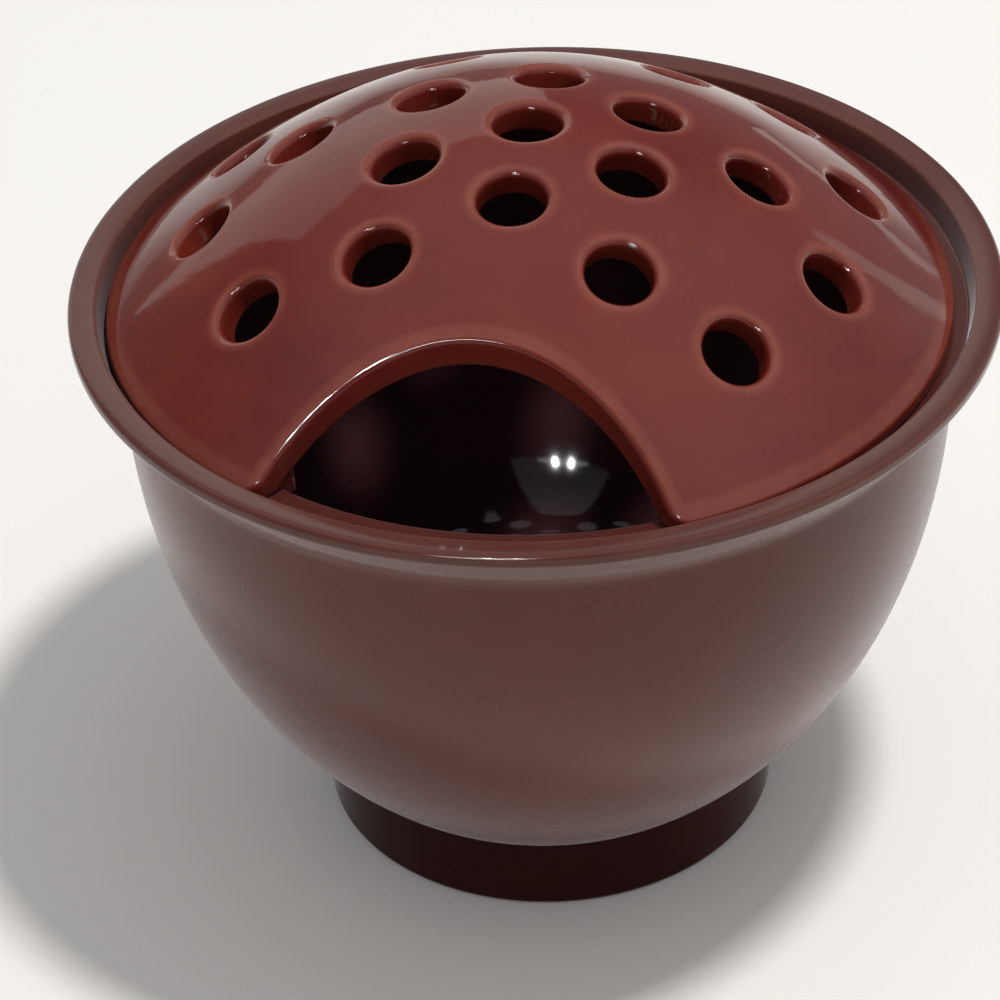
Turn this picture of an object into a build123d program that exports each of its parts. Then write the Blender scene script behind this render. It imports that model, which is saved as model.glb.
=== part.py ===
from build123d import *
import math
import os

# Ikebana bowl on a foot, with a lift-off domed cover that holds the stems.
# Millimetres, Z up. The origin is the centre of the foot's underside.
# The watering arch of the cover faces -Y.

# Body of the bowl: a half ellipsoid of revolution, cut flat underneath
body_radius = 89.6
body_base_radius = 51.63
body_centre_height = 113.7
body_wall = 6.0
body_curve_shares = [0, 0.25, 0.5, 0.75, 1]
floor_thickness = 7.0
floor_corner_radius = 9.0

# Lip of the bowl: a thin flange that flares out over the body
lip_width = 6.2
lip_edge_thickness = 2.8
lip_edge_rounding = 1.3
lip_inner_drop = 0.7
lip_ridge_rounding = 1.0
flare_rise = 6.3
flare_blend_radius = 7.0

# Seat for the cover: a recess inside the lip, down to a flat ledge
seat_rise = 7.5
seat_depth = 6.4
seat_width = 8.9
seat_lean = 1.3
seat_corner_rounding = 0.6
ledge_edge_rounding = 1.0

# Foot: a separately made ring, luted under the body with slip
foot_height = 18.0
foot_inset = 0.63
foot_wall = 8.0
foot_edge_rounding = 1.6

# Cover: a dome with a flat base that rests on the ledge
cover_clearance = 1.9
cover_edge_height = 3.0
cover_rise = 42.6
cover_wall = 6.5
crown_reach_share = 0.66
crown_drop_share = 0.43
cover_top_rounding = 2.0
cover_base_rounding = 1.2
cover_shift_share = 0.8
cover_shift_bearing = 220.0

# Locating ring: luted under the dome, hangs inside the ledge
ring_clearance = 2.1
ring_wall = 4.5
ring_depth = 5.0
ring_edge_rounding = 1.0
ring_end_setback = 4.0

# Watering arch: a round bite that opens at the cover's front edge
arch_reach = 57.5
arch_radius = 51.5
arch_corner_rounding = 4.0

# Stem holes: square to the dome, edges rounded
stem_hole_diameter = 14.2
stem_hole_rounding = 1.9
stem_hole_inner_rounding = 0.8

# The seam of the turned surfaces lies between the stem holes
seam_bearing = -108.7

# Places of the stem holes, each as a share of the cover's radius and a bearing in degrees
crown_hole_shares = [(0.01, 0)]
inner_hole_shares = [(0.28, -86), (0.29, -151), (0.30, -25), (0.29, 149), (0.26, 86), (0.305, 27)]
middle_hole_shares = [(0.505, -122), (0.515, -56), (0.555, 172), (0.545, 3), (0.585, 61), (0.56, 119)]
outer_hole_shares = [
    (0.735, -140), (0.765, -171), (0.76, -13), (0.745, -41.5), (0.785, 18),
    (0.77, 45), (0.76, 75), (0.77, 105), (0.765, 134), (0.77, 163),
]
stem_hole_shares = crown_hole_shares + inner_hole_shares + middle_hole_shares + outer_hole_shares

# The bowl and the cover are each fired as one piece. The bowl is divided level into bands and the
# cover through its axis into segments, all face to face, so that simple hulls leave the bowl's
# hollow and the stem holes open. The cover's cuts run through the middle of the inner stem holes.
bowl_band_names = ["bowl_base", "bowl_belly", "bowl_shoulder", "bowl_lip"]
bowl_band_shares = [0.25, 0.6]
cover_segment_bearings = {
    "cover_back_right": (28, 90),
    "cover_back_left": (90, 152),
    "cover_left": (152, 208),
    "cover_front_left": (208, 270),
    "cover_front_right": (270, 332),
    "cover_right": (332, 388),
}

# One overrun serves every cut, one tolerance every search for an edge
overrun = 20.0
tolerance = 0.001
probe_shares = [0.1, 0.5, 0.9]

# Sizes that follow
body_rise = body_centre_height - foot_height
body_depth = body_rise / math.sqrt(1 - (body_base_radius / body_radius) ** 2)
foot_radius = body_base_radius - foot_inset
flare_height = body_centre_height + flare_rise
seat_height = flare_height + seat_rise
lip_height = seat_height + seat_depth
inner_radius = body_radius - body_wall
floor_height = foot_height + floor_thickness
seat_radius = inner_radius + seat_width
lip_inner_radius = seat_radius + seat_lean
lip_radius = lip_inner_radius + lip_width
cover_radius = seat_radius - cover_clearance
cover_edge_top = seat_height + cover_edge_height
cover_height = cover_edge_top + cover_rise
ring_radius = inner_radius - ring_clearance
ring_bottom = seat_height - ring_depth
arch_centre_y = -(arch_reach + arch_radius)
stem_hole_radius = stem_hole_diameter / 2
cover_shift = cover_clearance * cover_shift_share
cover_place = Rot(0, 0, cover_shift_bearing) * Pos(cover_shift, 0, 0) * Rot(0, 0, -cover_shift_bearing)


def window(radius, low, high):
    """Rectangle from the axis out to a radius, between two heights."""
    return Pos(radius / 2, (low + high) / 2) * Rectangle(radius, high - low)


def body_curve(radius, depth, low):
    """Section curve of a half ellipsoid, from its widest circle down to a height."""
    last = math.asin((body_centre_height - low) / depth)
    turns = [last * share for share in body_curve_shares]
    places = [(radius * math.cos(turn), body_centre_height - depth * math.sin(turn)) for turn in turns]
    end_way = Vector(-radius * math.sin(last), -depth * math.cos(last))
    return Spline(places, tangents=(Vector(0, -1), end_way))


def turned(section):
    """Solid of revolution about Z from a section drawn as radius and height."""
    return revolve(Plane.XZ * section, Axis.Z)


def circles_at(part, radius, height):
    """The round edges of a turned part at one radius and height."""
    reach = part.edges().filter_by(GeomType.CIRCLE)
    near_height = reach.filter_by(lambda edge: math.isclose(edge.center().Z, height, abs_tol=tolerance))
    return near_height.filter_by(lambda edge: math.isclose(edge.radius, radius, abs_tol=tolerance))


def make_bowl():
    """Body, flared lip, recess and ledge as one thrown piece."""
    lip_under = lip_height - lip_edge_thickness
    outer = body_curve(body_radius, body_depth, foot_height)
    inner = body_curve(inner_radius, body_depth - body_wall, floor_height)
    floor = Polyline(outer @ 1, (0, foot_height), (0, floor_height), inner @ 1)
    rim = Polyline(
        inner @ 0,
        (inner_radius, seat_height),
        (seat_radius, seat_height),
        (lip_inner_radius, lip_height - lip_inner_drop),
        (lip_radius, lip_height),
        (lip_radius, lip_under),
        (body_radius, flare_height),
        outer @ 0,
    )
    bowl = turned(make_face([outer, floor, inner, rim]))
    bowl = fillet(circles_at(bowl, body_radius, flare_height), flare_blend_radius)
    bowl = fillet(
        circles_at(bowl, lip_radius, lip_under) + circles_at(bowl, lip_radius, lip_height),
        lip_edge_rounding,
    )
    bowl = fillet(circles_at(bowl, lip_inner_radius, lip_height - lip_inner_drop), lip_ridge_rounding)
    bowl = fillet(circles_at(bowl, seat_radius, seat_height), seat_corner_rounding)
    bowl = fillet(circles_at(bowl, inner_radius, seat_height), ledge_edge_rounding)
    floor_edges = bowl.edges().filter_by(
        lambda edge: math.isclose(edge.center().Z, floor_height, abs_tol=tolerance)
    )
    return fillet(floor_edges, floor_corner_radius)


def make_foot_ring():
    """Ring with rounded lower edges; its top meets the underside of the body."""
    ring = turned(window(foot_radius, 0, foot_height) - window(foot_radius - foot_wall, 0, foot_height))
    return fillet(circles_at(ring, foot_radius, 0) + circles_at(ring, foot_radius - foot_wall, 0),
                  foot_edge_rounding)


def outward(way):
    """Unit normal on the outer side of a section curve that runs away from the axis."""
    return Vector(-way.Y, way.X)


def dome_curve(depth):
    """Section curve from crown to flank, at a depth below the dome's outer surface."""
    apex = Vector(0, cover_height)
    crown_end = Vector(cover_radius * crown_reach_share, cover_height - cover_rise * crown_drop_share)
    flank_end = Vector(cover_radius, cover_edge_top)
    crown = TangentArc(apex, crown_end, tangent=Vector(1, 0))
    flank = TangentArc(crown_end, flank_end, tangent=crown % 1)
    places = [crown @ 0, crown @ 0.5, crown @ 1, flank @ 0.5, flank @ 1]
    ways = [crown % 0, crown % 0.5, crown % 1, flank % 0.5, flank % 1]
    offset_places = [place - outward(way) * depth for place, way in zip(places, ways)]
    return Spline(offset_places, tangents=(ways[0], ways[-1]))


def dome_region(depth):
    """Section area under the dome's curve, carried past the rim and below the ledge."""
    curve = dome_curve(depth)
    beyond = curve @ 1 + (curve % 1) * overrun
    low = seat_height - overrun
    return make_face([curve, Polyline(curve @ 1, beyond, (beyond.X, low), (0, low), curve @ 0)])


def arch_plan(radius, setback, rounding):
    """Plan of a disc less the arch's round bite, set back from it, with the corners rounded."""
    bite = Pos(0, arch_centre_y) * Circle(arch_radius + setback)
    plan = Rot(0, 0, seam_bearing) * Circle(radius) - bite
    corners = plan.vertices().filter_by(lambda corner: corner.Y < -arch_reach)
    return fillet(corners, rounding)


def upright(plan, low, high):
    """Prism of a plan between two heights."""
    return Pos(0, 0, low) * extrude(plan, high - low)


def wall_edges(part, plan, low, high):
    """Edges along the upright walls of a plan whose lowest point is between two heights."""
    outline = plan.face().outer_wire()

    def on_outline(edge):
        probes = [edge @ share for share in probe_shares]
        return all(outline.distance_to(Vertex(probe.X, probe.Y)) < tolerance for probe in probes)

    def between(edge):
        return low - tolerance < edge.bounding_box().min.Z < high + tolerance

    return part.edges().filter_by(GeomType.LINE, reverse=True).filter_by(between).filter_by(on_outline)


def hole_place(radius_share, bearing):
    """Location on the dome's outer surface, square to it, for a place on its plan."""
    curve = dome_curve(0)
    reach = radius_share * cover_radius
    place = curve.intersect(Edge.make_line((reach, 0), (reach, cover_height + overrun)))[0].center()
    lean = outward(curve % curve.param_at_point(place))
    plane = Plane(origin=(place.X, 0, place.Y), z_dir=(lean.X, 0, lean.Y))
    return Rot(0, 0, bearing) * plane.location


def bore_edges(part, place, low, high):
    """Edges at the ends of a stem hole, between two depths along its axis."""
    def on_bore(edge):
        probes = [(place.inverse() * Pos(edge @ share)).position for share in probe_shares]
        close = all(abs(math.hypot(probe.X, probe.Y) - stem_hole_radius) < tolerance for probe in probes)
        return close and all(low < probe.Z < high for probe in probes)

    return part.edges().filter_by(GeomType.LINE, reverse=True).filter_by(on_bore)


def make_cover():
    """Dome with the watering arch and the stem holes."""
    plan = arch_plan(cover_radius, 0, arch_corner_rounding)
    wall = Rot(0, 0, seam_bearing) * turned(dome_region(0) - dome_region(cover_wall))
    cover = wall & upright(plan, seat_height, cover_height + overrun)
    cover = fillet(wall_edges(cover, plan, cover_edge_top, cover_height), cover_top_rounding)
    cover = fillet(wall_edges(cover, plan, seat_height, seat_height), cover_base_rounding)
    places = [hole_place(radius_share, bearing) for radius_share, bearing in stem_hole_shares]
    cover -= [place * Cylinder(stem_hole_radius, 2 * overrun) for place in places]
    outer_edges = [bore_edges(cover, place, -cover_wall / 2, overrun) for place in places]
    cover = fillet(sum(outer_edges, ShapeList()), stem_hole_rounding)
    inner_edges = [bore_edges(cover, place, -overrun, -cover_wall / 2) for place in places]
    return fillet(sum(inner_edges, ShapeList()), stem_hole_inner_rounding)


def make_locating_ring():
    """Ring under the dome that keeps the cover central; the arch cuts it open."""
    plan = arch_plan(ring_radius, ring_end_setback, ring_edge_rounding)
    section = dome_region(cover_wall) - window(ring_radius - ring_wall, 0, cover_height)
    ring = Rot(0, 0, seam_bearing) * turned(section) & upright(plan, ring_bottom, cover_height)
    return fillet(wall_edges(ring, plan, ring_bottom, ring_bottom), ring_edge_rounding)


def bowl_bands(bowl):
    """The bowl in bands from its base to its lip, divided level."""
    levels = [foot_height + (seat_height - foot_height) * share for share in bowl_band_shares]
    levels += [seat_height + 2 * seat_corner_rounding, lip_height + overrun]
    plan = Circle(lip_radius + overrun)
    lows = [foot_height - overrun] + levels
    return [bowl & upright(plan, low, high) for low, high in zip(lows, levels)]


def cover_segment(cover, start_bearing, end_bearing):
    """The part of the cover between two cuts through its axis."""
    reach = 2 * cover_radius
    turns = [math.radians(start_bearing), math.radians(end_bearing)]
    corners = [(reach * math.cos(turn), reach * math.sin(turn)) for turn in turns]
    wedge = make_face(Polyline((0, 0), *corners, close=True))
    return cover & upright(wedge, seat_height - overrun, cover_height + overrun)


if __name__ == "__main__":
    os.makedirs("parts", exist_ok=True)
    nodes = dict(zip(bowl_band_names, bowl_bands(make_bowl())))
    nodes["foot_ring"] = make_foot_ring()
    cover = make_cover()
    for name, bearings in cover_segment_bearings.items():
        nodes[name] = cover_place * cover_segment(cover, *bearings)
    nodes["cover_locating_ring"] = cover_place * make_locating_ring()
    for name, node in nodes.items():
        export_step(node, os.path.join("parts", name + ".step"))
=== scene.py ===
"""Ikebana bowl on a foot, with a pierced dome cover: glazed pottery in a plain studio.

Metres, Z up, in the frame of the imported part. The watering arch faces -Y.
"""
import math

import bpy
from bpy.props import FloatProperty, FloatVectorProperty, IntProperty, PointerProperty
from mathutils import Matrix, Vector
from mathutils.geometry import delaunay_2d_cdt


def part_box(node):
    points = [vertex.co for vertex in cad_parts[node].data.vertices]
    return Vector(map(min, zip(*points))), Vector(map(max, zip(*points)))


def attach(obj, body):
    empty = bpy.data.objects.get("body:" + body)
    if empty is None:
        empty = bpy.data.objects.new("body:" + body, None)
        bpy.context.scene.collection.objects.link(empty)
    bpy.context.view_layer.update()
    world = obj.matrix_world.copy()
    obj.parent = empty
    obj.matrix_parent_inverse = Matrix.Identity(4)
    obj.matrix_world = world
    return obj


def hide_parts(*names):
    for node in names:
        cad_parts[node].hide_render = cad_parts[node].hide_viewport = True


bl_info = {
    "name": "Ikebana Bowl",
    "version": (1, 0, 0),
    "blender": (4, 5, 0),
    "location": "View3D > Sidebar > Ikebana Bowl",
    "description": "Builds a glazed flower bowl with a foot ring and a pierced dome cover",
    "category": "Object",
}

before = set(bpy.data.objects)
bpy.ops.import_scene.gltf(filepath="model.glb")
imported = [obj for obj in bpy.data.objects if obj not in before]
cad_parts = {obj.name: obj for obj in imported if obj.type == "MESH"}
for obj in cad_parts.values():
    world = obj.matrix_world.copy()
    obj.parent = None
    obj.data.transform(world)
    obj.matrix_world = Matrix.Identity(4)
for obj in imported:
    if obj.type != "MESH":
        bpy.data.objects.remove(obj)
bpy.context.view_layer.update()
RING_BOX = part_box("cover_locating_ring")
FOOT_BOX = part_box("foot_ring")
BOWL_NODES = ("bowl_base", "bowl_belly", "bowl_shoulder", "bowl_lip")
COVER_NODES = (
    "cover_back_right", "cover_back_left", "cover_left",
    "cover_front_left", "cover_front_right", "cover_right",
)

MERGE_DISTANCE = 1e-6
SMOOTH_ANGLE = math.radians(35)
BREAK_LAYER = "glaze_break"
GLOSS_AND_SHADE_LAYER = "inner_gloss_and_shade"

# Steps of the spun and laid out shapes
ARC_STEPS = 8
BODY_STEPS = 48
FLAT_STEPS = 8
BOWL_TURNS = 256
FOOT_TURNS = 192
RIM_STEPS = 250
ARCH_STEPS = 80
CORNER_STEPS = 12
EDGE_WALL_STEPS = 3
HOLE_WALL_STEPS = 4

# Where over a rounded edge the glaze is thinnest, and how far that spreads, as shares of the rounding
EDGE_LINE = 0.22
EDGE_SPREAD = 0.55

# How much the glaze thins over the cover's lower edges
LOWER_THINNING = 0.3

# The gloss layer's amount, which also places the painted shade of the lip: none on the body's outside, this
# much on the lip, all of it inside
LIP_GLOSS_AND_SHADE = 0.6


def length(name, description, default):
    """A length setting in metres."""
    return FloatProperty(
        name=name, description=description, default=default, subtype="DISTANCE", unit="LENGTH"
    )


def share(name, description, default):
    """A plain number setting."""
    return FloatProperty(name=name, description=description, default=default)


def turn(name, description, degrees):
    """An angle setting, given in degrees."""
    return FloatProperty(name=name, description=description, default=math.radians(degrees), subtype="ANGLE")


def colour(name, description, red, green, blue):
    """A linear colour setting."""
    return FloatVectorProperty(
        name=name, description=description, default=(red, green, blue), size=3, subtype="COLOR", min=0, max=1
    )


class BowlSettings(bpy.types.PropertyGroup):
    """Sizes of the thrown bowl"""
    body_radius: length("Body radius", "Widest radius of the body", 0.0896)
    body_depth: length("Body depth", "Half height of the body's ellipse", 0.1171)
    body_centre: length("Body centre", "Height of the body's widest circle", 0.1137)
    wall: length("Wall", "Thickness of the body's wall", 0.006)
    floor: length("Floor", "Thickness of the bowl's floor", 0.007)
    floor_corner: length("Floor corner", "Radius where the floor meets the wall", 0.009)
    under_edge: length("Under edge", "Rounding where the body meets its flat underside", 0.0005)
    lip_radius: length("Lip radius", "Outer radius of the lip", 0.0999)
    lip_height: length("Lip height", "Height of the lip's outer edge", 0.1339)
    lip_edge: length("Lip edge", "Thickness of the lip at its outer edge", 0.0028)
    lip_rounding: length("Lip rounding", "Rounding of the lip's outer edge", 0.0013)
    lip_inner: length("Lip inner radius", "Radius of the ridge inside the lip", 0.0938)
    lip_drop: length("Lip drop", "How far the ridge lies below the lip's outer edge", 0.0007)
    ridge_rounding: length("Ridge rounding", "Rounding of the ridge", 0.001)
    flare_height: length("Flare height", "Height where the lip leaves the body", 0.12)
    flare_blend: length("Flare blend", "Radius between the body and the lip", 0.007)
    seat_height: length("Seat height", "Height of the ledge that carries the cover", 0.1275)
    seat_radius: length("Seat radius", "Radius of the recess round the cover", 0.0925)
    seat_rounding: length("Seat rounding", "Corner of the recess", 0.0006)
    ledge_rounding: length("Ledge rounding", "Inner edge of the ledge", 0.001)
    thin_reach: length("Thin reach", "How far from the lip's edges the glaze is thin", 0.0026)


class FootSettings(bpy.types.PropertyGroup):
    """Sizes of the foot ring"""
    radius: length("Radius", "Outer radius of the foot", FOOT_BOX[1][0])
    height: length("Height", "Height of the foot", FOOT_BOX[1][2])
    wall: length("Wall", "Thickness of the ring", 0.008)
    rounding: length("Rounding", "Rounding of the lower edges", 0.0016)
    thin_reach: length("Thin reach", "How far from the lower edge the glaze is thin", 0.004)


class CoverSettings(bpy.types.PropertyGroup):
    """Sizes of the pierced cover"""
    radius: length("Radius", "Outer radius of the cover", 0.0906)
    edge_height: length("Edge height", "Height of the upright edge above the ledge", 0.003)
    rise: length("Rise", "Height of the dome above its edge", 0.0426)
    wall: length("Wall", "Thickness of the dome", 0.0065)
    crown_reach: share("Crown reach", "Share of the radius that the crown arc takes", 0.66)
    crown_drop: share("Crown drop", "Share of the rise that the crown arc takes", 0.43)
    top_rounding: length("Top rounding", "Rounding of the upper edge", 0.002)
    base_rounding: length("Base rounding", "Rounding of the lower edge", 0.0012)
    arch_reach: length("Arch reach", "Distance from the axis to the arch", 0.0575)
    arch_radius: length("Arch radius", "Radius of the round bite", 0.0515)
    arch_corner: length("Arch corner", "Rounding of the arch's two corners", 0.004)
    hole_radius: length("Hole radius", "Radius of a stem hole", 0.0071)
    hole_rounding: length("Hole rounding", "Rounding of a hole's outer edge", 0.0019)
    hole_inner_rounding: length("Hole inner rounding", "Rounding of a hole's inner edge", 0.0008)
    shift: length("Shift", "How far the cover sits off centre in its seat", 0.00152)
    shift_bearing: turn("Shift bearing", "Which way the cover sits off centre", 220)
    hole_sides: IntProperty(name="Hole sides", description="Steps round a stem hole", default=56)
    cell: length("Cell", "Spacing of the dome's points between the holes", 0.0021)
    thin_reach: length("Thin reach", "How far from a rounded edge the glaze is thin", 0.0016)
    ring_thin_reach: length("Ring thin reach", "How far up the locating ring the glaze is thin", 0.003)


class GlazeSettings(bpy.types.PropertyGroup):
    """Colours of the glaze"""
    body: colour("Body", "Red-brown of the body", 0.084, 0.0150, 0.0095)
    body_deep: colour("Body deep", "Darker patches of the body", 0.072, 0.012, 0.0085)
    body_warm: colour("Body warm", "Warmer patches of the body", 0.096, 0.0185, 0.011)
    cover: colour("Cover", "Red-brown of the cover", 0.112, 0.0130, 0.0095)
    cover_deep: colour("Cover deep", "Darker patches of the cover", 0.088, 0.0095, 0.0085)
    cover_warm: colour("Cover warm", "Orange patches of the cover", 0.138, 0.0200, 0.0095)
    thin: colour("Thin glaze", "Paler colour where the glaze thins over an edge", 0.25, 0.078, 0.052)
    # Painted shade: the foot's colours are painted far darker than the body's, as the shade of the foot under
    # the bowl
    foot: colour("Foot", "Deep maroon of the foot", 0.016, 0.0010, 0.0008)
    foot_warm: colour("Foot warm", "Lighter patches of the foot", 0.028, 0.002, 0.0012)
    # Painted shade: a darker colour mixed in on the lip, its recess and ledge, and a little of it inside
    lip_painted_shade: colour("Lip dark", "Darker tone mixed in on the lip and inside", 0.022, 0.010, 0.014)
    inside: colour("Inside", "Mauve tone of the bowl's inside", 0.075, 0.027, 0.034)


class StageSettings(bpy.types.PropertyGroup):
    """Camera and lamps of the studio"""
    distance: length("Distance", "Distance of the camera from the axis, seen from above", 0.7088)
    height: length("Height", "Height of the camera", 0.59025)
    bearing: turn("Bearing", "How far the camera stands to the right of the arch", 10.5)
    swing: turn("Swing", "Turn of the camera to the right", -0.76)
    tilt: turn("Tilt", "Tilt of the camera below the horizon", 36.01)
    roll: turn("Roll", "Roll of the camera", -2.38)
    lens: FloatProperty(name="Lens", description="Focal length in millimetres", default=141.8)
    floor: colour("Floor", "Pale floor", 0.78, 0.77, 0.75)
    floor_roughness: share("Floor roughness", "Roughness of the floor", 0.7)
    floor_shine: share("Floor shine", "Strength of the floor's reflection", 0.2)
    ambient: share("Ambient", "Strength of the even light from all round", 0.57)
    gloss_low: share("Gloss low", "Strength of the surroundings in the gloss, level with the bowl", 0.24)
    gloss_right: share("Gloss right", "Strength that comes on top of it at the right", 0.42)
    gloss_front: share("Gloss front", "Share of it that stays low in front", 0.12)
    gloss_high: share("Gloss high", "Strength of the surroundings in the gloss, overhead", 1.0)
    key_power: share("Key power", "Watts of the overhead lamp", 31.0)
    twin_power: share("Twin power", "Watts of each small front lamp", 2.5)
    glow_power: share("Glow power", "Watts of the glow round the small lamps", 0.14)
    strip_power: share("Strip power", "Watts of the low front strip lamp", 6.0)
    card_power: share("Card power", "Watts per square metre of the cards behind", 2.3)


# Lamps: azimuth, elevation, distance from the bowl's middle, width and height
LAMPS = {
    "overhead_key": (93, 76, 2.0, (0.22, 0.22)),
    "small_lamp_left": (-184.5, 31, 1.2, (0.026, 0.026)),
    "small_lamp_right": (-177.8, 31, 1.2, (0.026, 0.026)),
    "small_lamp_glow": (-181, 31, 1.3, (0.42, 0.03)),
    "front_strip": (-176, 17, 1.5, (0.5, 0.12)),
    "card_back_left": (-32, 24, 1.6, (1.3, 0.85)),
    "card_back_right": (19, 3, 1.6, (0.5, 0.07)),
    "card_right": (37, 13, 1.6, (0.1, 0.5)),
}

# Pale cards behind the bowl that only its gloss shows
CARDS = ("card_back_left", "card_back_right", "card_right")
LAMP_TARGET = Vector((0, 0, 0.09))
WHITE, WARM_WHITE, PALE_GREEN = (1, 1, 1), (1, 0.98, 0.95), (0.95, 1, 0.93)
FLOOR_SIZE = 12

# Camera: film width in millimetres, nearest distance that it shows
FILM_WIDTH = 36
CLIP_START = 0.01

# Where the surroundings in the gloss change, as (start, end) along one axis of the unit direction
OVERHEAD = (0.42, 0.97)
TO_THE_RIGHT = (0.15, 0.75)
LOW_IN_FRONT = (-0.93, -0.84)

# Stem holes: distance from the axis as a share of the cover's radius, and bearing from +X in degrees
HOLE_PLACES = (
    (0.01, 0),
    (0.28, -86), (0.29, -151), (0.30, -25), (0.29, 149), (0.26, 86), (0.305, 27),
    (0.505, -122), (0.515, -56), (0.555, 172), (0.545, 3), (0.585, 61), (0.56, 119),
    (0.735, -140), (0.765, -171), (0.76, -13), (0.745, -41.5), (0.785, 18),
    (0.77, 45), (0.76, 75), (0.77, 105), (0.765, 134), (0.77, 163),
)


# Helpers for meshes

def deselect_all():
    """Nothing selected, so that an operator acts on the new piece alone."""
    if bpy.context.object and bpy.context.object.mode != "OBJECT":
        bpy.ops.object.mode_set(mode="OBJECT")
    bpy.ops.object.select_all(action="DESELECT")


def make_active(piece):
    """Selects one piece alone."""
    deselect_all()
    piece.select_set(True)
    bpy.context.view_layer.objects.active = piece


def close_mesh(piece):
    """Merges doubles and turns the faces outwards."""
    make_active(piece)
    bpy.ops.object.mode_set(mode="EDIT")
    bpy.ops.mesh.select_all(action="SELECT")
    bpy.ops.mesh.remove_doubles(threshold=MERGE_DISTANCE)
    bpy.ops.mesh.normals_make_consistent(inside=False)
    bpy.ops.object.mode_set(mode="OBJECT")


def rounded(corners):
    """Outline through corners given as (radius, height, rounding), each rounding drawn as an arc."""
    outline = []
    for index, (radius, height, rounding) in enumerate(corners):
        here = Vector((radius, height))
        if not rounding:
            outline.append(here)
            continue
        before = (Vector(corners[index - 1][:2]) - here).normalized()
        after = (Vector(corners[index + 1][:2]) - here).normalized()
        half = before.angle(after) / 2
        centre = here + (before + after).normalized() * rounding / math.sin(half)
        start = here + before * rounding / math.tan(half) - centre
        sweep = start.angle_signed(here + after * rounding / math.tan(half) - centre)
        for step in range(ARC_STEPS + 1):
            swung = start.copy()
            swung.rotate(Matrix.Rotation(-sweep * step / ARC_STEPS, 2))
            outline.append(centre + swung)
    return outline


def lathe(name, outline, steps):
    """Extrudes an outline from one vertex and spins it round Z into a closed solid."""
    deselect_all()
    bpy.ops.mesh.primitive_plane_add(size=0.01, location=(outline[0].x, 0, outline[0].y))
    piece = bpy.context.object
    piece.name = name
    bpy.ops.object.mode_set(mode="EDIT")
    bpy.ops.mesh.select_all(action="SELECT")
    bpy.ops.mesh.merge(type="CENTER")
    for here, there in zip(outline, outline[1:]):
        step = (there.x - here.x, 0, there.y - here.y)
        bpy.ops.mesh.extrude_region_move(TRANSFORM_OT_translate={"value": step})
    bpy.ops.mesh.select_all(action="SELECT")
    bpy.ops.mesh.spin(steps=steps, angle=math.tau, center=(0, 0, 0), axis=(0, 0, 1))
    bpy.ops.object.mode_set(mode="OBJECT")
    bpy.ops.object.transform_apply(location=True, rotation=True, scale=True)
    close_mesh(piece)
    bpy.ops.object.shade_smooth_by_angle(angle=SMOOTH_ANGLE)
    return piece


def paint(piece, name, amount):
    """Stores an amount at each vertex for the glaze to read."""
    layer = piece.data.attributes.new(name, "FLOAT", "POINT")
    for vertex in piece.data.vertices:
        layer.data[vertex.index].value = amount(vertex.co)


def fade(distance, reach):
    """1 at no distance, falling smoothly to 0 at the reach."""
    near = max(0.0, 1 - abs(distance) / reach)
    return near * near * (3 - 2 * near)


def dress(piece, body, nodes, material):
    """Gives a piece its glaze, its body and the nodes that it stands for."""
    piece.data.materials.clear()
    piece.data.materials.append(material)
    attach(piece, body)
    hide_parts(*nodes)


# The bowl and its foot

def ellipse_points(radius, depth, centre, low):
    """Points of the body's ellipse from its widest circle down to a height."""
    last = math.asin((centre - low) / depth)
    turns = [last * step / BODY_STEPS for step in range(BODY_STEPS + 1)]
    return [Vector((radius * math.cos(angle), centre - depth * math.sin(angle))) for angle in turns]


def bowl_outline(sizes, foot_height):
    """Section of the bowl from the axis under the floor, round the lip, to the axis on the floor."""
    floor_top = foot_height + sizes.floor
    outer = ellipse_points(sizes.body_radius, sizes.body_depth, sizes.body_centre, foot_height)
    inner_radius = sizes.body_radius - sizes.wall
    inner = ellipse_points(inner_radius, sizes.body_depth - sizes.wall, sizes.body_centre, floor_top)
    under = rounded([(0, foot_height, 0), (*outer[-1], sizes.under_edge), (*outer[-3], 0)])
    rim = rounded([
        (*outer[0], 0),
        (sizes.body_radius, sizes.flare_height, sizes.flare_blend),
        (sizes.lip_radius, sizes.lip_height - sizes.lip_edge, sizes.lip_rounding),
        (sizes.lip_radius, sizes.lip_height, sizes.lip_rounding),
        (sizes.lip_inner, sizes.lip_height - sizes.lip_drop, sizes.ridge_rounding),
        (sizes.seat_radius, sizes.seat_height, sizes.seat_rounding),
        (inner_radius, sizes.seat_height, sizes.ledge_rounding),
        (*inner[0], 0),
    ])
    floor_corner = rounded([(*inner[-7], 0), (*inner[-1], sizes.floor_corner), (0, floor_top, 0)])
    above_corner = [point for point in inner[1:] if point.y > floor_corner[1].y]
    below_lip = [point for point in reversed(outer[1:]) if point.y > under[-2].y]
    parts = [ring / FLAT_STEPS for ring in range(1, FLAT_STEPS)]
    floor_rings = [Vector((floor_corner[-2].x * part, floor_top)) for part in reversed(parts)]
    under_rings = [Vector((under[1].x * part, foot_height)) for part in parts]
    return under[:1] + under_rings + under[1:-1] + below_lip + rim + above_corner + floor_corner[1:-1] \
        + floor_rings + floor_corner[-1:]


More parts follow.
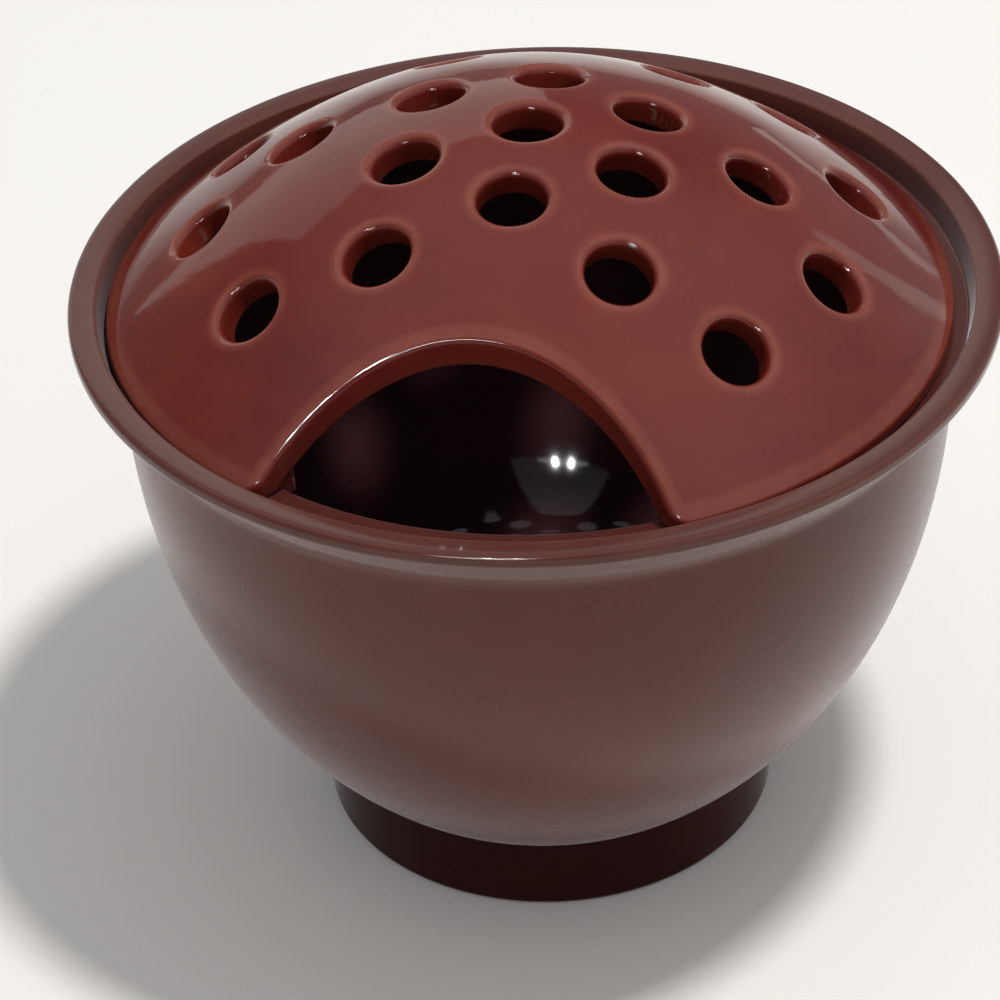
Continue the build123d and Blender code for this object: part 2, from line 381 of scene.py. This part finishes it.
class IKEBANA_OT_bowl(bpy.types.Operator):
    """Spin the bowl with its flared lip and the ledge for the cover"""
    bl_idname = "ikebana.bowl"
    bl_label = "Bowl"

    def execute(self, context):
        sizes = context.scene.ikebana_bowl
        foot = context.scene.ikebana_foot
        piece = lathe("glazed_bowl", bowl_outline(sizes, foot.height), BOWL_TURNS)
        under_lip = sizes.lip_height - sizes.lip_edge

        def thin(place):
            radius = math.hypot(place.x, place.y)
            lip = Vector((radius - sizes.lip_radius, place.z - sizes.lip_height + sizes.lip_edge / 2)).length
            ridge = Vector((radius - sizes.lip_inner, place.z - sizes.lip_height + sizes.lip_drop)).length
            return max(fade(lip, sizes.thin_reach), fade(ridge, sizes.thin_reach))

        # The gloss layer also marks where the painted shade of the lip and its recess goes
        def inner(place):
            radius = math.hypot(place.x, place.y)
            if place.z > sizes.flare_height:
                rise = (place.z - sizes.flare_height) / (under_lip - sizes.flare_height)
                neck = sizes.body_radius + (sizes.lip_radius - sizes.body_radius) * rise
                if place.z < under_lip and radius > neck - sizes.flare_blend / 4:
                    return 0.0
                return 1.0 if place.z < sizes.seat_height - sizes.ledge_rounding / 2 else LIP_GLOSS_AND_SHADE
            across = radius / (sizes.body_radius - sizes.wall / 2)
            down = (place.z - sizes.body_centre) / (sizes.body_depth - sizes.wall / 2)
            above_floor = place.z > foot.height + sizes.floor / 2
            return float(above_floor and across * across + down * down * (down < 0) < 1)

        paint(piece, BREAK_LAYER, thin)
        paint(piece, GLOSS_AND_SHADE_LAYER, inner)
        dress(piece, "vessel", BOWL_NODES, body_glaze(context))
        return {"FINISHED"}


class IKEBANA_OT_foot(bpy.types.Operator):
    """Spin the foot ring"""
    bl_idname = "ikebana.foot"
    bl_label = "Foot Ring"

    def execute(self, context):
        sizes = context.scene.ikebana_foot
        inner = sizes.radius - sizes.wall
        outline = rounded([
            (inner, sizes.height, 0),
            (inner, 0, sizes.rounding),
            (sizes.radius, 0, sizes.rounding),
            (sizes.radius, sizes.height, 0),
        ])
        piece = lathe("glazed_foot", outline + outline[:1], FOOT_TURNS)

        def thin(place):
            return fade(place.z - sizes.rounding / 2, sizes.thin_reach)

        paint(piece, BREAK_LAYER, thin)
        dress(piece, "vessel", ("foot_ring",), foot_glaze_with_painted_shade(context))
        return {"FINISHED"}


# The cover, laid out point by point: cut and bevelled holes would show as dents in its gloss

class DomeSection:
    """The dome's section: a crown arc and a flank arc, each also at a depth under its surface."""

    def __init__(self, sizes, seat):
        edge_top = seat + sizes.edge_height
        apex = Vector((0, edge_top + sizes.rise))
        self.split = Vector((sizes.radius * sizes.crown_reach, apex.y - sizes.rise * sizes.crown_drop))
        self.crown, self.crown_radius = self.arc(apex, Vector((0, -1)), self.split)
        inward = (self.crown - self.split).normalized()
        self.flank, self.flank_radius = self.arc(self.split, inward, Vector((sizes.radius, edge_top)))
        self.seat = seat
        self.wall = sizes.wall

    @staticmethod
    def arc(start, inward, end):
        """Centre and radius of the arc that leaves start square to inward and ends at end."""
        chord = end - start
        radius = chord.length_squared / (2 * chord.dot(inward))
        return start + inward * radius, radius

    def upper(self, place, depth):
        """Height and outward normal of the outer surface, moved inwards by a depth."""
        reach = math.hypot(place.x, place.y)
        on_crown = reach < self.split.x * (self.crown_radius - depth) / self.crown_radius
        centre, radius = (self.crown, self.crown_radius) if on_crown else (self.flank, self.flank_radius)
        radius -= depth
        side = reach - centre.x
        height = centre.y + math.sqrt(radius * radius - side * side)
        lean = Vector((side, height - centre.y)).normalized()
        flat = Vector((place.x, place.y, 0)) / reach if reach else Vector((1, 0, 0))
        return height, flat * lean.x + Vector((0, 0, lean.y))

    def lower(self, place, depth):
        """Height and outward normal of the inner surface and flat base, moved into the wall by a depth."""
        height, normal = self.upper(place, self.wall - depth)
        if height > self.seat + depth:
            return height, -normal
        return self.seat + depth, Vector((0, 0, -1))


def slide_onto(surface, place, way, depth):
    """Slides a point along a direction until it lies on a surface at a depth; gives it and the normal."""
    for _ in range(8):
        height, normal = surface(place, depth)
        place = place + way * ((height - place.z) * normal.z / normal.dot(way))
    return place, surface(place, depth)[1]


def between(start, end, part):
    """Unit vector part of the way from one to another, turned evenly."""
    angle = start.angle(end)
    return (start * math.sin((1 - part) * angle) + end * math.sin(part * angle)) / math.sin(angle)


def wall_strip(dome, stations, way, roundings, upper_insets, lower_insets, wall_steps, reach):
    """Rows of points across a wall of the cover, from its outer surface over both roundings to its inner one.

    Each station is a point on the wall and the unit vector from it into the clay. Each row is a list of
    (point, how much the glaze thins there).
    """
    rows = []
    for base, inwards in stations:
        row = []
        upper_rounding, lower_rounding = roundings
        for inset in upper_insets:
            place, _ = slide_onto(dome.upper, base + inwards * (upper_rounding + inset), way, 0)
            row.append((place, fade(EDGE_LINE, EDGE_SPREAD) * fade(inset, reach)))
        ball, normal = slide_onto(dome.upper, base + inwards * upper_rounding, way, upper_rounding)
        for step in range(ARC_STEPS + 1):
            place = ball + between(normal, -inwards, step / ARC_STEPS) * upper_rounding
            row.append((place, fade(step / ARC_STEPS - EDGE_LINE, EDGE_SPREAD)))
        top = row[-1][0]
        ball, normal = slide_onto(dome.lower, base + inwards * lower_rounding, way, lower_rounding)
        bottom = ball - inwards * lower_rounding
        for step in range(1, wall_steps):
            row.append((top.lerp(bottom, step / wall_steps), 0.0))
        for step in range(ARC_STEPS // 2 + 1):
            place = ball + between(-inwards, normal, 2 * step / ARC_STEPS) * lower_rounding
            row.append((place, LOWER_THINNING))
        for inset in lower_insets:
            place, _ = slide_onto(dome.lower, base + inwards * (lower_rounding + inset), way, 0)
            row.append((place, 0.0))
        rows.append(row)
    return rows


def outline_stations(sizes):
    """Points round the cover's plan, anticlockwise from the right corner, with unit vectors into the clay."""
    arch_centre = Vector((0, -(sizes.arch_reach + sizes.arch_radius), 0))
    span = -arch_centre.y
    to_corner, past_arch = sizes.radius - sizes.arch_corner, sizes.arch_radius + sizes.arch_corner
    down = (span ** 2 + to_corner ** 2 - past_arch ** 2) / (2 * span)
    corner = Vector((math.sqrt(to_corner ** 2 - down ** 2), -down, 0))
    rim_end = math.atan2(corner.y, corner.x)
    arch_end = math.atan2(corner.y - arch_centre.y, corner.x)
    stations = []

    def arc(centre, radius, start, end, steps, sign):
        for step in range(steps):
            angle = start + (end - start) * step / steps
            out = Vector((math.cos(angle), math.sin(angle), 0))
            stations.append((centre + out * radius, out * sign))

    axis = Vector((0, 0, 0))
    left_corner = Vector((-corner.x, corner.y, 0))
    arc(axis, sizes.radius, rim_end, math.pi - rim_end, RIM_STEPS, -1)
    arc(left_corner, sizes.arch_corner, math.pi - rim_end, math.tau - arch_end, CORNER_STEPS, -1)
    arc(arch_centre, sizes.arch_radius, math.pi - arch_end, arch_end, ARCH_STEPS, 1)
    arc(corner, sizes.arch_corner, math.pi + arch_end, math.tau + rim_end, CORNER_STEPS, -1)
    return stations


def hole_stations(dome, sizes, radius_share, bearing):
    """Points round a stem hole's bore with unit vectors into the clay, and the hole's axis."""
    direction = math.radians(bearing)
    start = Vector((math.cos(direction), math.sin(direction), 0)) * sizes.radius * radius_share
    height, axis = dome.upper(start, 0)
    centre = Vector((start.x, start.y, height))
    side = axis.orthogonal().normalized()
    other = axis.cross(side)
    stations = []
    for step in range(sizes.hole_sides):
        angle = math.tau * step / sizes.hole_sides
        out = side * math.cos(angle) + other * math.sin(angle)
        stations.append((centre + out * sizes.hole_radius, out))
    return stations, centre, axis


class MeshStore:
    """Collects points, faces and the glaze's thinning for one mesh."""

    def __init__(self):
        self.points, self.thin, self.faces = [], [], []

    def add(self, point, thin=0.0):
        """Adds a point and gives its number."""
        self.points.append(point)
        self.thin.append(thin)
        return len(self.points) - 1

    def add_strip(self, rows):
        """Adds a closed strip of rows with its faces; gives the numbers of its first and last rings."""
        numbers = [[self.add(*point) for point in row] for row in rows]
        for row, after in zip(numbers, numbers[1:] + numbers[:1]):
            for index in range(len(row) - 1):
                self.faces.append((row[index], after[index], after[index + 1], row[index + 1]))
        return [row[0] for row in numbers], [row[-1] for row in numbers]

    def add_field(self, surface, rings, spots):
        """Fills the surface between rings, over spots given in plan. The first ring is the outer one."""
        numbers = [number for ring in rings for number in ring]
        for spot in spots:
            numbers.append(self.add(Vector((spot.x, spot.y, surface(spot, 0)[0]))))
        flat = [Vector((self.points[number].x, self.points[number].y)) for number in numbers]
        edges, first = [], 0
        for ring in rings:
            edges += [(first + step, first + (step + 1) % len(ring)) for step in range(len(ring))]
            first += len(ring)
        found = delaunay_2d_cdt(flat, edges, [], 0, MERGE_DISTANCE / 10)
        places, triangles, originals = found[0], found[2], found[3]
        outlines = [[flat[index] for index in range(*span)] for span in self.spans(rings)]
        for triangle in triangles:
            middle = sum((places[index] for index in triangle), Vector((0, 0))) / 3
            if encloses(outlines[0], middle) and not any(encloses(hole, middle) for hole in outlines[1:]):
                self.faces.append(tuple(numbers[originals[index][0]] for index in triangle))

    @staticmethod
    def spans(rings):
        """Where each ring starts and ends in one list of them all."""
        first = 0
        for ring in rings:
            yield first, first + len(ring)
            first += len(ring)

    def make(self, name, shift):
        """Makes the object, moved by a shift, with the thinning as an attribute."""
        mesh = bpy.data.meshes.new(name)
        mesh.from_pydata([point + shift for point in self.points], [], self.faces)
        layer = mesh.attributes.new(BREAK_LAYER, "FLOAT", "POINT")
        layer.data.foreach_set("value", self.thin)
        piece = bpy.data.objects.new(name, mesh)
        bpy.context.scene.collection.objects.link(piece)
        close_mesh(piece)
        bpy.ops.object.shade_smooth()
        return piece


def encloses(outline, place):
    """Whether a place in plan lies inside an outline."""
    inside = False
    before = outline[-1]
    for here in outline:
        if (here.y > place.y) != (before.y > place.y):
            crossing = here.x + (place.y - here.y) * (before.x - here.x) / (before.y - here.y)
            if place.x < crossing:
                inside = not inside
        before = here
    return inside


def field_spots(sizes, holes, cell, clear_of_edge, clear_of_hole):
    """Even spots over the cover's plan, clear of its outline and of the holes' rings."""
    arch_centre = Vector((0, -(sizes.arch_reach + sizes.arch_radius)))
    spots = []
    for ring in range(1, int(sizes.radius / cell)):
        radius = ring * cell
        count = int(math.tau * radius / cell)
        for step in range(count):
            angle = math.tau * (step + 0.5 * (ring % 2)) / count
            spot = Vector((radius * math.cos(angle), radius * math.sin(angle)))
            from_arch = (spot - arch_centre).length - sizes.arch_radius
            if min(sizes.radius - radius, from_arch) < clear_of_edge:
                continue
            if all((spot - hole).length > clear_of_hole for hole in holes):
                spots.append(spot)
    return spots


class IKEBANA_OT_cover(bpy.types.Operator):
    """Lay out the pierced dome with its watering arch"""
    bl_idname = "ikebana.cover"
    bl_label = "Cover"

    def execute(self, context):
        sizes = context.scene.ikebana_cover
        dome = DomeSection(sizes, context.scene.ikebana_bowl.seat_height)
        upright = Vector((0, 0, 1))
        store = MeshStore()
        edge_insets, hole_insets = (0.0014, 0.0007, 0.0002), (0.0020, 0.0012, 0.0006, 0.0002)
        lower_insets, reach = (0.0006, 0.0018), sizes.thin_reach
        roundings = sizes.top_rounding, sizes.base_rounding
        stations = outline_stations(sizes)
        rows = wall_strip(
            dome, stations, upright, roundings, edge_insets, lower_insets, EDGE_WALL_STEPS, reach
        )
        upper_ring, lower_ring = store.add_strip(rows)
        upper_rings, lower_rings, holes, lower_holes = [upper_ring], [lower_ring], [], []
        roundings = sizes.hole_rounding, sizes.hole_inner_rounding
        for place in HOLE_PLACES:
            stations, centre, axis = hole_stations(dome, sizes, *place)
            rows = wall_strip(
                dome, stations, axis, roundings, hole_insets, lower_insets, HOLE_WALL_STEPS, reach
            )
            upper, lower = store.add_strip(rows)
            upper_rings.append(upper)
            lower_rings.append(lower)
            holes.append(centre.to_2d())
            lower_holes.append((centre - axis * sizes.wall).to_2d())
        patch = sizes.hole_radius + sizes.hole_rounding + hole_insets[0] + sizes.cell / 2
        edge = sizes.top_rounding + edge_insets[0] + sizes.cell / 2
        store.add_field(dome.upper, upper_rings, field_spots(sizes, holes, sizes.cell, edge, patch))
        patch = sizes.hole_radius + sizes.hole_inner_rounding + lower_insets[-1] + sizes.cell
        edge = sizes.base_rounding + lower_insets[-1] + sizes.cell
        store.add_field(dome.lower, lower_rings, field_spots(sizes, lower_holes, 2 * sizes.cell, edge, patch))
        away = Vector((math.cos(sizes.shift_bearing), math.sin(sizes.shift_bearing), 0)) * sizes.shift
        piece = store.make("glazed_cover", away)
        dress(piece, "cover", COVER_NODES, cover_glaze(context))
        return {"FINISHED"}


class IKEBANA_OT_locating_ring(bpy.types.Operator):
    """Smooth a copy of the locating ring under the cover"""
    bl_idname = "ikebana.locating_ring"
    bl_label = "Locating Ring"

    def execute(self, context):
        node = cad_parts["cover_locating_ring"]
        piece = node.copy()
        piece.data = node.data.copy()
        piece.name = "glazed_locating_ring"
        piece.parent = None
        for key in list(piece.keys()):
            del piece[key]
        context.scene.collection.objects.link(piece)
        close_mesh(piece)
        bpy.ops.object.shade_smooth_by_angle(angle=SMOOTH_ANGLE)
        reach = context.scene.ikebana_cover.ring_thin_reach
        paint(piece, BREAK_LAYER, lambda place: fade(place.z - RING_BOX[0][2], reach))
        dress(piece, "cover", ("cover_locating_ring",), cover_glaze(context))
        return {"FINISHED"}


# Glazes

NODE_STEP = 180


class NodeSheet:
    """Short calls for laying out shader nodes."""

    def __init__(self, tree):
        self.tree = tree
        self.column = 0

    def add(self, kind, inputs=(), **settings):
        """Adds a node, sets its properties, and links or fills its inputs."""
        node = self.tree.nodes.new(kind)
        node.location = (self.column * NODE_STEP, 0)
        self.column += 1
        for key, value in settings.items():
            setattr(node, key, value)
        for key, value in dict(inputs).items():
            if isinstance(value, bpy.types.NodeSocket):
                self.tree.links.new(value, node.inputs[key])
            else:
                node.inputs[key].default_value = value
        return node

    def noise(self, vector, scale, detail, roughness):
        """Noise in object coordinates."""
        inputs = {"Vector": vector, "Scale": scale, "Detail": detail, "Roughness": roughness}
        return self.add("ShaderNodeTexNoise", inputs).outputs["Fac"]

    def ramp(self, value, low, high, start=0.0, end=1.0):
        """Maps a value from one range to another, clamped and eased."""
        inputs = {"Value": value, "From Min": low, "From Max": high, "To Min": start, "To Max": end}
        return self.add("ShaderNodeMapRange", inputs, interpolation_type="SMOOTHSTEP").outputs["Result"]

    def mix(self, factor, first, second):
        """Blends two colours."""
        node = self.add("ShaderNodeMix", data_type="RGBA")
        for index, value in ((0, factor), (6, first), (7, second)):
            if isinstance(value, bpy.types.NodeSocket):
                self.tree.links.new(value, node.inputs[index])
            else:
                node.inputs[index].default_value = value
        return node.outputs[2]

    def sum(self, operation, first, second):
        """One step of arithmetic."""
        return self.add("ShaderNodeMath", {0: first, 1: second}, operation=operation).outputs[0]


# How the glaze group reads its noises: (low, high) of a noise, then (start, end) of what it gives
DEEP_TO_MAIN = (0.3, 0.52)
MAIN_TO_WARM = (0.52, 0.74, 0.0, 0.9)
WARM_CLOUDS = (0.4, 0.72, 0.0, 0.35)
RAGGED_EDGE = (0.25, 0.7, 0.55, 1.0)
ROUGHER_CLOUDS = (0.3, 0.7)
# Painted shade on the lip, its recess and ledge, read from the gloss layer
LIP_PAINTED_SHADE = (0.0, LIP_GLOSS_AND_SHADE, 0.0, 0.36)
INSIDE_TONE = (0.8, 1.0, 0.0, 0.85)

# Noises of the glaze: scale, detail and roughness
FINE_WAVES = (420.0, 2.0, 0.5)
SLOW_WAVES = (34.0, 1.0, 0.4)
FINE_SHARE = 0.018
CLOUD_SCALE_SHARE = 4.3

# Roughness of the glossy inside, as a share of the lowest roughness outside
INSIDE_ROUGHNESS_SHARE = 0.25
SHEEN_ROUGHNESS = 0.35


def glaze_group(tints):
    """Node group: patches of colour, thinning at edges, painted shade on the lip and inside, and the slow
    waves of a dipped glaze.
    """
    group = bpy.data.node_groups.get("Dipped glaze")
    if group:
        return group
    group = bpy.data.node_groups.new("Dipped glaze", "ShaderNodeTree")
    colours = ("Main", "Deep", "Warm", "Thin")
    for name in colours:
        group.interface.new_socket(name, in_out="INPUT", socket_type="NodeSocketColor")
    for name in ("Patch Scale", "Thinning", "Gloss", "Low Roughness", "High Roughness"):
        group.interface.new_socket(name, in_out="INPUT", socket_type="NodeSocketFloat")
    group.interface.new_socket("Vector", in_out="INPUT", socket_type="NodeSocketVector")
    group.interface.new_socket("Colour", in_out="OUTPUT", socket_type="NodeSocketColor")
    for name in ("Roughness", "Height"):
        group.interface.new_socket(name, in_out="OUTPUT", socket_type="NodeSocketFloat")
    sheet = NodeSheet(group)
    given = sheet.add("NodeGroupInput").outputs
    patches = sheet.noise(given["Vector"], given["Patch Scale"], 3.0, 0.55)
    finer_scale = sheet.sum("MULTIPLY", given["Patch Scale"], CLOUD_SCALE_SHARE)
    clouds = sheet.noise(given["Vector"], finer_scale, 4.0, 0.6)
    shade = sheet.mix(sheet.ramp(patches, *DEEP_TO_MAIN), given["Deep"], given["Main"])
    shade = sheet.mix(sheet.ramp(patches, *MAIN_TO_WARM), shade, given["Warm"])
    shade = sheet.mix(sheet.ramp(clouds, *WARM_CLOUDS), shade, given["Warm"])
    thinness = sheet.sum("MULTIPLY", given["Thinning"], sheet.ramp(clouds, *RAGGED_EDGE))
    shade = sheet.mix(thinness, shade, given["Thin"])
    # Painted shade: darker colour on the lip, its recess and ledge
    shade = sheet.mix(sheet.ramp(given["Gloss"], *LIP_PAINTED_SHADE), shade, (*tints.lip_painted_shade, 1))
    shade = sheet.mix(sheet.ramp(given["Gloss"], *INSIDE_TONE), shade, (*tints.inside, 1))
    fine = sheet.noise(given["Vector"], *FINE_WAVES)
    slow = sheet.noise(given["Vector"], *SLOW_WAVES)
    height = sheet.sum("ADD", slow, sheet.sum("MULTIPLY", fine, FINE_SHARE))
    gap = sheet.sum("SUBTRACT", given["High Roughness"], given["Low Roughness"])
    rougher = sheet.sum("MULTIPLY", sheet.ramp(clouds, *ROUGHER_CLOUDS), gap)
    roughness = sheet.sum("ADD", given["Low Roughness"], rougher)
    glossy = sheet.sum("MULTIPLY", given["Low Roughness"], INSIDE_ROUGHNESS_SHARE)
    inputs = {"Value": given["Gloss"], "To Min": roughness, "To Max": glossy}
    roughness = sheet.add("ShaderNodeMapRange", inputs).outputs["Result"]
    sheet.add("NodeGroupOutput", {"Colour": shade, "Roughness": roughness, "Height": height})
    return group


def glaze_material(name, tints, colours, patch_scale, thinning, roughness, wave, index, bloom):
    """A glaze: the group's colour, roughness and height on a clear, glossy ceramic."""
    material = bpy.data.materials.get(name)
    if material:
        return material
    material = bpy.data.materials.new(name)
    material.use_nodes = True
    material.node_tree.nodes.clear()
    sheet = NodeSheet(material.node_tree)
    place = sheet.add("ShaderNodeTexCoord").outputs["Object"]
    breaks = sheet.add("ShaderNodeAttribute", attribute_name=BREAK_LAYER).outputs["Fac"]
    # The gloss layer, which also places the painted shade of the lip
    gloss = sheet.add("ShaderNodeAttribute", attribute_name=GLOSS_AND_SHADE_LAYER).outputs["Fac"]
    glaze = sheet.add("ShaderNodeGroup", node_tree=glaze_group(tints))
    for socket, tint in zip(("Main", "Deep", "Warm", "Thin"), colours):
        glaze.inputs[socket].default_value = (*tint, 1)
    glaze.inputs["Patch Scale"].default_value = patch_scale
    glaze.inputs["Low Roughness"].default_value, glaze.inputs["High Roughness"].default_value = roughness
    sheet.tree.links.new(place, glaze.inputs["Vector"])
    sheet.tree.links.new(gloss, glaze.inputs["Gloss"])
    sheet.tree.links.new(sheet.sum("MULTIPLY", breaks, thinning), glaze.inputs["Thinning"])
    bump = sheet.add("ShaderNodeBump", {"Height": glaze.outputs["Height"], "Distance": wave, "Strength": 1.0})
    shader = sheet.add("ShaderNodeBsdfPrincipled", {
        "Base Color": glaze.outputs["Colour"],
        "Roughness": glaze.outputs["Roughness"],
        "Normal": bump.outputs["Normal"],
        "IOR": index,
        "Sheen Weight": bloom,
        "Sheen Roughness": SHEEN_ROUGHNESS,
    })
    sheet.add("ShaderNodeOutputMaterial", {"Surface": shader.outputs["BSDF"]})
    return material


def body_glaze(context):
    """Satin red-brown glaze of the bowl, with painted shade on the lip and in its recess."""
    tints = context.scene.ikebana_glaze
    colours = (tints.body, tints.body_deep, tints.body_warm, tints.thin)
    return glaze_material(
        "Body glaze", tints, colours, patch_scale=16.0, thinning=0.3, roughness=(0.23, 0.29),
        wave=0.0001, index=1.38, bloom=0.36,
    )


def cover_glaze(context):
    """Glossy red-brown glaze of the cover."""
    tints = context.scene.ikebana_glaze
    colours = (tints.cover, tints.cover_deep, tints.cover_warm, tints.thin)
    return glaze_material(
        "Cover glaze", tints, colours, patch_scale=22.0, thinning=0.45, roughness=(0.05, 0.09),
        wave=0.0008, index=1.36, bloom=0.0,
    )


def foot_glaze_with_painted_shade(context):
    """Deep maroon glaze of the foot, painted far darker than the body as the foot's shade under the bowl."""
    tints = context.scene.ikebana_glaze
    colours = (tints.foot, tints.foot, tints.foot_warm, tints.foot_warm)
    return glaze_material(
        "Foot glaze", tints, colours, patch_scale=30.0, thinning=0.6, roughness=(0.05, 0.08),
        wave=0.0003, index=1.22, bloom=0.0,
    )


# The studio

def toward(azimuth, elevation):
    """Unit vector at an azimuth clockwise from +Y and an elevation, both in degrees."""
    around, above = math.radians(azimuth), math.radians(elevation)
    return Vector((math.sin(around) * math.cos(above), math.cos(around) * math.cos(above), math.sin(above)))


def add_lamp(name, power, tint=WHITE):
    """An area lamp at its place in the table, turned to the bowl's middle."""
    azimuth, elevation, distance, size = LAMPS[name]
    place = LAMP_TARGET + toward(azimuth, elevation) * distance
    deselect_all()
    bpy.ops.object.light_add(type="AREA", location=place)
    lamp = bpy.context.object
    lamp.name = name
    lamp.data.shape = "ELLIPSE"
    lamp.data.size, lamp.data.size_y = size
    lamp.data.energy = power
    lamp.data.color = tint
    lamp.rotation_euler = (LAMP_TARGET - place).to_track_quat("-Z", "Y").to_euler()
    return lamp


class IKEBANA_OT_stage(bpy.types.Operator):
    """Set the pale floor, the soft lamps and the camera"""
    bl_idname = "ikebana.stage"
    bl_label = "Stage"

    def execute(self, context):
        sizes = context.scene.ikebana_stage
        self.add_floor(sizes)
        self.light_world(context.scene, sizes)
        add_lamp("overhead_key", sizes.key_power, WARM_WHITE).visible_glossy = False
        for name in ("small_lamp_left", "small_lamp_right"):
            add_lamp(name, sizes.twin_power).visible_diffuse = False
        add_lamp("small_lamp_glow", sizes.glow_power)
        add_lamp("front_strip", sizes.strip_power).visible_diffuse = False
        for name in CARDS:
            width, height = LAMPS[name][-1]
            card = add_lamp(name, sizes.card_power * width * height, PALE_GREEN)
            card.data.shape = "RECTANGLE"
            card.visible_diffuse = False
        self.place_camera(context.scene, sizes)
        context.scene.view_settings.view_transform = "Standard"
        return {"FINISHED"}

    def add_floor(self, sizes):
        """A wide, pale, matt floor at the foot of the bowl."""
        deselect_all()
        bpy.ops.mesh.primitive_plane_add(size=FLOOR_SIZE, location=(0, 0, 0))
        floor = bpy.context.object
        floor.name = "floor"
        material = bpy.data.materials.new("Pale floor")
        material.use_nodes = True
        shader = material.node_tree.nodes["Principled BSDF"]
        shader.inputs["Base Color"].default_value = (*sizes.floor, 1)
        shader.inputs["Roughness"].default_value = sizes.floor_roughness
        shader.inputs["Specular IOR Level"].default_value = sizes.floor_shine
        floor.data.materials.append(material)

    def light_world(self, scene, sizes):
        """Even light from all round; the camera sees a white background, and reflections see surroundings
        graded brighter overhead and to the right, darker low in front.
        """
        world = scene.world or bpy.data.worlds.new("World")
        scene.world = world
        world.use_nodes = True
        world.node_tree.nodes.clear()
        sheet = NodeSheet(world.node_tree)
        rays = sheet.add("ShaderNodeLightPath").outputs
        way = sheet.add("ShaderNodeTexCoord").outputs["Generated"]
        parts = sheet.add("ShaderNodeSeparateXYZ", {"Vector": way}).outputs
        surroundings = sheet.ramp(parts["Z"], *OVERHEAD, sizes.gloss_low, sizes.gloss_high)
        right_side = sheet.ramp(parts["X"], *TO_THE_RIGHT, 0.0, sizes.gloss_right)
        surroundings = sheet.sum("ADD", surroundings, right_side)
        dark_front = sheet.ramp(parts["Y"], *LOW_IN_FRONT, sizes.gloss_front, 1.0)
        surroundings = sheet.sum("MULTIPLY", surroundings, dark_front)
        even = sheet.add("ShaderNodeMapRange", {
            "Value": rays["Is Glossy Ray"], "To Min": sizes.ambient, "To Max": surroundings,
        })
        strength = sheet.add("ShaderNodeMapRange", {
            "Value": rays["Is Camera Ray"], "To Min": even.outputs["Result"], "To Max": 1.0,
        })
        light = sheet.add("ShaderNodeBackground", {"Strength": strength.outputs["Result"]})
        light.inputs["Color"].default_value = (1, 1, 1, 1)
        sheet.add("ShaderNodeOutputWorld", {"Surface": light.outputs["Background"]})

    def place_camera(self, scene, sizes):
        """The camera stands, looks and rolls as in the photograph."""
        data = bpy.data.cameras.new("camera")
        camera = bpy.data.objects.new("camera", data)
        scene.collection.objects.link(camera)
        data.sensor_width = FILM_WIDTH
        data.lens = sizes.lens
        data.clip_start = CLIP_START
        heading = sizes.swing - sizes.bearing
        level = math.cos(sizes.tilt)
        ahead = Vector((math.sin(heading) * level, math.cos(heading) * level, -math.sin(sizes.tilt)))
        right = ahead.cross(Vector((0, 0, 1))).normalized()
        above = right.cross(ahead)
        across = right * math.cos(sizes.roll) + above * math.sin(sizes.roll)
        up = above * math.cos(sizes.roll) - right * math.sin(sizes.roll)
        turned = Matrix((across, up, -ahead)).transposed().to_4x4()
        place = Vector((
            math.sin(sizes.bearing) * sizes.distance,
            -math.cos(sizes.bearing) * sizes.distance,
            sizes.height,
        ))
        camera.matrix_world = Matrix.Translation(place) @ turned
        scene.camera = camera


class IKEBANA_PT_panel(bpy.types.Panel):
    """Buttons for the bowl's pieces"""
    bl_idname = "IKEBANA_PT_panel"
    bl_label = "Ikebana Bowl"
    bl_space_type = "VIEW_3D"
    bl_region_type = "UI"
    bl_category = "Ikebana Bowl"

    def draw(self, context):
        for operator in OPERATORS:
            self.layout.operator(operator.bl_idname)
        for name in SETTINGS:
            box = self.layout.box()
            group = getattr(context.scene, name)
            for key in group.__annotations__:
                box.prop(group, key)


OPERATORS = (IKEBANA_OT_bowl, IKEBANA_OT_foot, IKEBANA_OT_cover, IKEBANA_OT_locating_ring, IKEBANA_OT_stage)
SETTINGS = {
    "ikebana_bowl": BowlSettings,
    "ikebana_foot": FootSettings,
    "ikebana_cover": CoverSettings,
    "ikebana_glaze": GlazeSettings,
    "ikebana_stage": StageSettings,
}


def register():
    for name, group in SETTINGS.items():
        bpy.utils.register_class(group)
        setattr(bpy.types.Scene, name, PointerProperty(type=group))
    for operator in OPERATORS:
        bpy.utils.register_class(operator)
    bpy.utils.register_class(IKEBANA_PT_panel)


def unregister():
    bpy.utils.unregister_class(IKEBANA_PT_panel)
    for operator in reversed(OPERATORS):
        bpy.utils.unregister_class(operator)
    for name, group in reversed(SETTINGS.items()):
        delattr(bpy.types.Scene, name)
        bpy.utils.unregister_class(group)


def main():
    register()
    bpy.ops.ikebana.bowl()
    bpy.ops.ikebana.foot()
    bpy.ops.ikebana.cover()
    bpy.ops.ikebana.locating_ring()
    bpy.ops.ikebana.stage()


if __name__ == "__main__":
    main()
